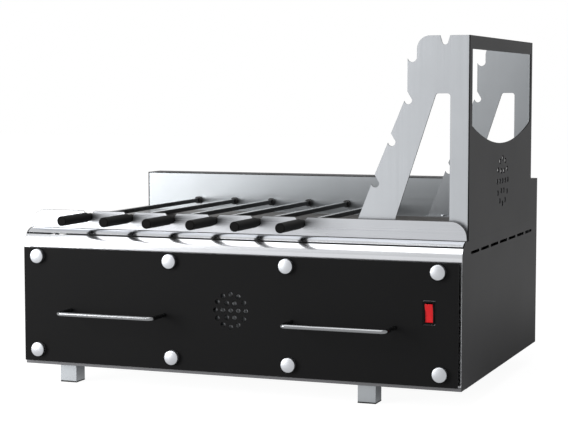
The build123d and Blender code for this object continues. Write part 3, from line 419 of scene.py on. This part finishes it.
def moulded_plastic(name, colour, roughness, grain):
    """Moulded plastic with the fine grain of its mould."""
    material = bpy.data.materials.new(name)
    material.use_nodes = True
    tree = material.node_tree
    plastic = tree.nodes["Principled BSDF"]
    plastic.inputs["Specular IOR Level"].default_value = 0.2
    place = tree.nodes.new("ShaderNodeTexCoord")
    mould = tree.nodes.new("ShaderNodeTexNoise")
    mould.inputs["Scale"].default_value = grain
    tree.links.new(place.outputs["Object"], mould.inputs["Vector"])
    tone = tree.nodes.new("ShaderNodeMix")
    tone.data_type = "RGBA"
    tone.inputs["A"].default_value = (*[0.9 * c for c in colour], 1.0)
    tone.inputs["B"].default_value = (*[1.1 * c for c in colour], 1.0)
    tree.links.new(mould.outputs["Fac"], tone.inputs["Factor"])
    tree.links.new(tone.outputs["Result"], plastic.inputs["Base Color"])
    gloss = tree.nodes.new("ShaderNodeMapRange")
    gloss.inputs["To Min"].default_value = roughness - 0.05
    gloss.inputs["To Max"].default_value = roughness + 0.05
    tree.links.new(mould.outputs["Fac"], gloss.inputs["Value"])
    tree.links.new(gloss.outputs["Result"], plastic.inputs["Roughness"])
    relief = tree.nodes.new("ShaderNodeBump")
    relief.inputs["Strength"].default_value = 0.1
    relief.inputs["Distance"].default_value = 0.0001
    tree.links.new(mould.outputs["Fac"], relief.inputs["Height"])
    tree.links.new(relief.outputs["Normal"], plastic.inputs["Normal"])
    return material


def finish_node(node, material):
    """Keeps a CAD node as it is and gives it a finish."""
    nodes[node].data.materials.clear()
    nodes[node].data.materials.append(material)


black_plastic = moulded_plastic("black_plastic", (0.014, 0.014, 0.014), 0.5, 1400.0)
finish_node("foot_plugs", black_plastic)


# The firebox and its grate: welded trough and slotted plate, dulled and browned by heat
# in uneven patches.
def heated_steel(name, colour, scorched, roughness):
    """Steel that has been in the fire, with uneven brown and grey scale on it."""
    material = brushed_steel(name, colour, roughness, (60.0, 60.0, 60.0))
    tree = material.node_tree
    steel = tree.nodes["Principled BSDF"]
    place = tree.nodes.new("ShaderNodeTexCoord")
    scale = tree.nodes.new("ShaderNodeTexNoise")
    scale.inputs["Scale"].default_value = 11.0
    scale.inputs["Detail"].default_value = 6.0
    tree.links.new(place.outputs["Object"], scale.inputs["Vector"])
    tone = tree.nodes.new("ShaderNodeMix")
    tone.data_type = "RGBA"
    tone.inputs["A"].default_value = (*colour, 1.0)
    tone.inputs["B"].default_value = (*scorched, 1.0)
    tree.links.new(scale.outputs["Fac"], tone.inputs["Factor"])
    tree.links.new(tone.outputs["Result"], steel.inputs["Base Color"])
    return material


firebox_steel = heated_steel("firebox_steel", (0.16, 0.16, 0.163), (0.09, 0.086, 0.082), 0.42)
grate_steel = heated_steel("grate_steel", (0.14, 0.14, 0.14), (0.075, 0.072, 0.07), 0.5)
finish_node("firebox", firebox_steel)
eased_copy("charcoal_grate", grate_steel)


# The ash drawer: a black powder-coated front plate, held off a stainless plate by turned studs
# and sleeves, with a zinc-coated tray behind it that hangs by two bars in folded runners.
TRAY_SHEET = 0.0012
TRAY_CORNER = 0.004
STUD_HIGH_X = (-0.368, -0.112, 0.1015, 0.363)
STUD_LOW_X = (-0.368, -0.108, 0.106, 0.367)
STUD_HIGH_Z = 0.2314
STUD_LOW_Z = 0.0655
FASCIA_Y = -0.2564
FASCIA_EDGE = 0.0004
SLEEVE_BEHIND = 0.00525


def number(tree, operation, *values):
    """A Math node on numbers or sockets, in the order given."""
    node = tree.nodes.new("ShaderNodeMath")
    node.operation = operation
    for socket, value in zip(node.inputs, values):
        if isinstance(value, (int, float)):
            socket.default_value = value
        else:
            tree.links.new(value, socket)
    return node.outputs[0]


def bar_along_z(tree, vertices, rings, radius, depth):
    """A closed round or cornered bar about the origin."""
    bar = tree.nodes.new("GeometryNodeMeshCylinder")
    bar.inputs["Vertices"].default_value = vertices
    bar.inputs["Side Segments"].default_value = rings
    tree.links.new(radius, bar.inputs["Radius"])
    tree.links.new(depth, bar.inputs["Depth"])
    return bar.outputs["Mesh"]


def moved_up(tree, shape, rise):
    """A shape moved along Z."""
    place = tree.nodes.new("ShaderNodeCombineXYZ")
    tree.links.new(rise, place.inputs["Z"])
    move = tree.nodes.new("GeometryNodeTransform")
    tree.links.new(shape, move.inputs["Geometry"])
    tree.links.new(place.outputs[0], move.inputs["Translation"])
    return move.outputs["Geometry"]


def fixing_tree():
    """Geometry Nodes that set a stud or screw at every point of a mesh. Its flat head, with a
    rounded rim, rises from the point along Z before it is turned, and the shank goes down."""
    tree = bpy.data.node_groups.new("round_headed_fixing", "GeometryNodeTree")
    face = tree.interface
    face.new_socket(name="Geometry", in_out="OUTPUT", socket_type="NodeSocketGeometry")
    face.new_socket(name="Places", in_out="INPUT", socket_type="NodeSocketGeometry")
    for name in ("Head Radius", "Head Height", "Head Round", "Shank Radius", "Shank Length",
                 "Recess Radius", "Recess Depth"):
        face.new_socket(name=name, in_out="INPUT", socket_type="NodeSocketFloat")
    face.new_socket(name="Recessed", in_out="INPUT", socket_type="NodeSocketBool")
    face.new_socket(name="Turn", in_out="INPUT", socket_type="NodeSocketVector")
    face.new_socket(name="Finish", in_out="INPUT", socket_type="NodeSocketMaterial")
    given = tree.nodes.new("NodeGroupInput").outputs
    result = tree.nodes.new("NodeGroupOutput")
    half = number(tree, "MULTIPLY", given["Head Height"], 0.5)
    head = bar_along_z(tree, 48, 24, given["Head Radius"], given["Head Height"])
    place = tree.nodes.new("GeometryNodeInputPosition")
    parts = tree.nodes.new("ShaderNodeSeparateXYZ")
    tree.links.new(place.outputs[0], parts.inputs[0])
    over = number(tree, "MAXIMUM", number(
        tree, "SUBTRACT", parts.outputs["Z"], number(tree, "SUBTRACT", half, given["Head Round"])), 0.0)
    inside = number(tree, "MAXIMUM", number(
        tree, "SUBTRACT", number(tree, "POWER", given["Head Round"], 2.0),
        number(tree, "POWER", over, 2.0)), 0.0)
    reach = number(tree, "ADD", number(tree, "SUBTRACT", given["Head Radius"], given["Head Round"]),
                   number(tree, "SQRT", inside))
    share = number(tree, "DIVIDE", reach, given["Head Radius"])
    drawn_in = tree.nodes.new("ShaderNodeCombineXYZ")
    tree.links.new(number(tree, "MULTIPLY", parts.outputs["X"], share), drawn_in.inputs["X"])
    tree.links.new(number(tree, "MULTIPLY", parts.outputs["Y"], share), drawn_in.inputs["Y"])
    tree.links.new(parts.outputs["Z"], drawn_in.inputs["Z"])
    rounded = tree.nodes.new("GeometryNodeSetPosition")
    tree.links.new(head, rounded.inputs["Geometry"])
    tree.links.new(drawn_in.outputs[0], rounded.inputs["Position"])
    raised = moved_up(tree, rounded.outputs["Geometry"], half)
    cutter = moved_up(tree, bar_along_z(tree, 6, 1, given["Recess Radius"], number(
        tree, "MULTIPLY", given["Recess Depth"], 2.0)), given["Head Height"])
    carve = tree.nodes.new("GeometryNodeMeshBoolean")
    carve.operation = "DIFFERENCE"
    tree.links.new(raised, carve.inputs[0])
    tree.links.new(cutter, carve.inputs[1])
    choose = tree.nodes.new("GeometryNodeSwitch")
    choose.input_type = "GEOMETRY"
    tree.links.new(given["Recessed"], choose.inputs["Switch"])
    tree.links.new(raised, choose.inputs["False"])
    tree.links.new(carve.outputs["Mesh"], choose.inputs["True"])
    shank = moved_up(tree, bar_along_z(tree, 24, 1, given["Shank Radius"], given["Shank Length"]),
                     number(tree, "MULTIPLY", given["Shank Length"], -0.5))
    whole = tree.nodes.new("GeometryNodeJoinGeometry")
    tree.links.new(choose.outputs[0], whole.inputs[0])
    tree.links.new(shank, whole.inputs[0])
    turn = tree.nodes.new("FunctionNodeEulerToRotation")
    tree.links.new(given["Turn"], turn.inputs[0])
    setting = tree.nodes.new("GeometryNodeInstanceOnPoints")
    tree.links.new(given["Places"], setting.inputs["Points"])
    tree.links.new(whole.outputs[0], setting.inputs["Instance"])
    tree.links.new(turn.outputs[0], setting.inputs["Rotation"])
    real = tree.nodes.new("GeometryNodeRealizeInstances")
    tree.links.new(setting.outputs[0], real.inputs[0])
    finish = tree.nodes.new("GeometryNodeSetMaterial")
    tree.links.new(real.outputs[0], finish.inputs["Geometry"])
    tree.links.new(given["Finish"], finish.inputs["Material"])
    tree.links.new(finish.outputs[0], result.inputs[0])
    return tree


def sleeve_tree():
    """Geometry Nodes that set a plain sleeve at every point of a mesh, with its axis along Z
    before it is turned."""
    tree = bpy.data.node_groups.new("plain_sleeve", "GeometryNodeTree")
    face = tree.interface
    face.new_socket(name="Geometry", in_out="OUTPUT", socket_type="NodeSocketGeometry")
    face.new_socket(name="Places", in_out="INPUT", socket_type="NodeSocketGeometry")
    for name in ("Outer Radius", "Bore Radius", "Length"):
        face.new_socket(name=name, in_out="INPUT", socket_type="NodeSocketFloat")
    face.new_socket(name="Turn", in_out="INPUT", socket_type="NodeSocketVector")
    face.new_socket(name="Finish", in_out="INPUT", socket_type="NodeSocketMaterial")
    given = tree.nodes.new("NodeGroupInput").outputs
    result = tree.nodes.new("NodeGroupOutput")
    outer = bar_along_z(tree, 48, 1, given["Outer Radius"], given["Length"])
    bore = bar_along_z(tree, 48, 1, given["Bore Radius"], number(tree, "MULTIPLY", given["Length"], 1.5))
    drill = tree.nodes.new("GeometryNodeMeshBoolean")
    drill.operation = "DIFFERENCE"
    tree.links.new(outer, drill.inputs[0])
    tree.links.new(bore, drill.inputs[1])
    turn = tree.nodes.new("FunctionNodeEulerToRotation")
    tree.links.new(given["Turn"], turn.inputs[0])
    setting = tree.nodes.new("GeometryNodeInstanceOnPoints")
    tree.links.new(given["Places"], setting.inputs["Points"])
    tree.links.new(drill.outputs["Mesh"], setting.inputs["Instance"])
    tree.links.new(turn.outputs[0], setting.inputs["Rotation"])
    real = tree.nodes.new("GeometryNodeRealizeInstances")
    tree.links.new(setting.outputs[0], real.inputs[0])
    finish = tree.nodes.new("GeometryNodeSetMaterial")
    tree.links.new(real.outputs[0], finish.inputs["Geometry"])
    tree.links.new(given["Finish"], finish.inputs["Material"])
    tree.links.new(finish.outputs[0], result.inputs[0])
    return tree


def set_out(name, tree, places, values):
    """A plain mesh of what a tree sets at the places, with the tree's named inputs given."""
    points = bpy.data.meshes.new(name)
    points.from_pydata(places, [], [])
    piece = bpy.data.objects.new(name, points)
    bpy.context.scene.collection.objects.link(piece)
    maker = piece.modifiers.new("set_out", "NODES")
    maker.node_group = tree
    for socket in tree.interface.items_tree:
        if socket.in_out == "INPUT" and socket.name in values:
            maker[socket.identifier] = values[socket.name]
    bpy.context.view_layer.update()
    made = bpy.data.meshes.new_from_object(piece.evaluated_get(bpy.context.evaluated_depsgraph_get()))
    piece.modifiers.clear()
    piece.data = made
    for polygon in made.polygons:
        polygon.use_smooth = len(polygon.vertices) <= 4
    made.set_sharp_from_angle(angle=SHARP_FOLD)
    return piece


fascia_black = powder_coat("fascia_black", (0.0048, 0.0048, 0.005), 0.5, 0.05)
eased_copy("fascia", fascia_black, FASCIA_EDGE)
eased_copy("drawer_front", stainless)
finish_node("drawer_rails", zinc)
finish_node("drawer_runners", zinc)

tray_low, tray_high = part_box("drawer_tray")
tray_shape = bmesh.new()
bmesh.ops.create_cube(tray_shape, size=1.0)
for corner in tray_shape.verts:
    corner.co = [(low + high) / 2 + share * (high - low)
                 for low, high, share in zip(tray_low, tray_high, corner.co)]
bmesh.ops.delete(tray_shape, geom=[f for f in tray_shape.faces if f.normal.z > 0.5], context="FACES_ONLY")
folds = [e for e in tray_shape.edges if len(e.link_faces) == 2]
bmesh.ops.bevel(tray_shape, geom=folds, offset=TRAY_CORNER, segments=4, profile=0.5, affect="EDGES")
bmesh.ops.recalc_face_normals(tray_shape, faces=tray_shape.faces)
tray_mesh = bpy.data.meshes.new("pressed_tray")
tray_shape.to_mesh(tray_mesh)
tray_shape.free()
tray_mesh.materials.append(zinc)
for polygon in tray_mesh.polygons:
    polygon.use_smooth = True
pressed_tray = bpy.data.objects.new("pressed_tray", tray_mesh)
bpy.context.scene.collection.objects.link(pressed_tray)
thicken = pressed_tray.modifiers.new("sheet", "SOLIDIFY")
thicken.thickness = TRAY_SHEET
thicken.offset = -1.0
thicken.use_even_offset = True
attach(pressed_tray, nodes["drawer_tray"]["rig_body"])
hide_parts("drawer_tray")

turned_steel = brushed_steel("turned_steel", (0.385, 0.395, 0.415), 0.38, (120.0, 120.0, 120.0))
handle_steel = brushed_steel("handle_steel", (0.2, 0.205, 0.212), 0.18, (5.0, 160.0, 160.0))
stud_places = [(x, FASCIA_Y, STUD_HIGH_Z) for x in STUD_HIGH_X]
stud_places += [(x, FASCIA_Y, STUD_LOW_Z) for x in STUD_LOW_X]
TOWARDS_FRONT = (math.radians(90), 0.0, 0.0)
fixing = fixing_tree()
studs = set_out("turned_studs", fixing, stud_places, {
    "Head Radius": 0.0125, "Head Height": 0.008, "Head Round": 0.0012, "Shank Radius": 0.004,
    "Shank Length": 0.01, "Recess Radius": 0.001, "Recess Depth": 0.001, "Recessed": False,
    "Turn": TOWARDS_FRONT, "Finish": turned_steel})
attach(studs, nodes["fascia_studs"]["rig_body"])
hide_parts("fascia_studs")
sleeve_places = [(x, FASCIA_Y + SLEEVE_BEHIND, z) for x, _, z in stud_places]
sleeves = set_out("turned_sleeves", sleeve_tree(), sleeve_places, {
    "Outer Radius": 0.008, "Bore Radius": 0.00405, "Length": 0.0065, "Turn": TOWARDS_FRONT,
    "Finish": turned_steel})
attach(sleeves, nodes["stud_spacers"]["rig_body"])
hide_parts("stud_spacers")
finish_node("handle_left", handle_steel)
finish_node("handle_right", handle_steel)


# The power switch: a snap-in rocker switch with a black bezel and a glossy red rocker,
# carried by a small stainless box behind the drawer's front plate.
ROCKER_EDGE = 0.0002
red_plastic = moulded_plastic("red_plastic", (0.45, 0.005, 0.008), 0.25, 500.0)
eased_copy("rocker", red_plastic, ROCKER_EDGE)
bezel_black = moulded_plastic("bezel_black", (0.0022, 0.0022, 0.0022), 0.6, 900.0)
bezel_black.node_tree.nodes["Principled BSDF"].inputs["Specular IOR Level"].default_value = 0.05
finish_node("switch_body", bezel_black)
finish_node("switch_bracket", stainless)


# The skewers: square drawn rods in black turned grips. The rods' tips sit in the square
# sockets of the spindles, and each spindle carries its gear.
ROD_EDGE = 0.0004
rod_steel = brushed_steel("rod_steel", (0.16, 0.16, 0.162), 0.16, (400.0, 4.0, 400.0))
grip_black = moulded_plastic("grip_black", (0.0022, 0.0022, 0.0022), 0.6, 900.0)
grip_black.node_tree.nodes["Principled BSDF"].inputs["Specular IOR Level"].default_value = 0.06
socket_black = powder_coat("socket_black", (0.014, 0.014, 0.014), 0.4, 0.3)
gear_steel = brushed_steel("gear_steel", (0.5, 0.5, 0.51), 0.32, (90.0, 90.0, 90.0))
for skewer in range(1, 7):
    eased_copy(f"skewer_rod_{skewer}", rod_steel, ROD_EDGE)
    finish_node(f"skewer_grip_{skewer}", grip_black)
    finish_node(f"spit_socket_{skewer}", socket_black)
    finish_node(f"drive_gear_{skewer}", gear_steel)


# The drive behind the backsplash: gears between the backsplash and a channel, bronze bushes,
# a flat gearbox with its motor, the inlet and the leads.
bronze = brushed_steel("bronze", (0.6, 0.4, 0.2), 0.3, (150.0, 150.0, 150.0))
motor_metal = brushed_steel("motor_metal", (0.34, 0.35, 0.37), 0.35, (80.0, 80.0, 80.0))
finish_node("motor_pinion", gear_steel)
finish_node("spindle_bushes", bronze)
finish_node("gear_plate", zinc)
finish_node("motor_gearbox", motor_metal)
finish_node("motor", motor_metal)
finish_node("power_inlet", black_plastic)
lead_rubber = moulded_plastic("lead_rubber", (0.012, 0.012, 0.012), 0.6, 700.0)
finish_node("wiring_loom", lead_rubber)


# The panel screws: small hexagon-socket screws, four down through the tower's feet and four
# in each end of the rear cover.
FOOT_SCREW_X = (0.23168, 0.365)
FOOT_SCREW_Y = (-0.1984, 0.2496)
FOOT_TOP = 0.282
COVER_SCREW_X = (-0.392, 0.392)
COVER_BACK_Y = 0.3186
COVER_SCREW_LOW, COVER_SCREW_PITCH = 0.061, 0.09
SCREW_UP = [(x, y, FOOT_TOP) for y in FOOT_SCREW_Y for x in FOOT_SCREW_X]
SCREW_BACK = [(x, COVER_BACK_Y, COVER_SCREW_LOW + COVER_SCREW_PITCH * row)
              for x in COVER_SCREW_X for row in range(4)]
screw_sizes = {"Head Radius": 0.0045, "Head Height": 0.0024, "Head Round": 0.0012,
               "Shank Radius": 0.0024, "Shank Length": 0.008, "Recess Radius": 0.0017,
               "Recess Depth": 0.0013, "Recessed": True, "Finish": turned_steel}
screws = set_out("foot_and_cover_screws", fixing, SCREW_UP, {**screw_sizes, "Turn": (0.0, 0.0, 0.0)})
TOWARDS_BACK = (math.radians(-90), 0.0, 0.0)
cover_screws = set_out("cover_screws", fixing, SCREW_BACK, {**screw_sizes, "Turn": TOWARDS_BACK})
both = bmesh.new()
both.from_mesh(screws.data)
both.from_mesh(cover_screws.data)
both.to_mesh(screws.data)
both.free()
bpy.data.objects.remove(cover_screws)
screws.data.set_sharp_from_angle(angle=SHARP_FOLD)
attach(screws, nodes["panel_screws"]["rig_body"])
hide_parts("panel_screws")
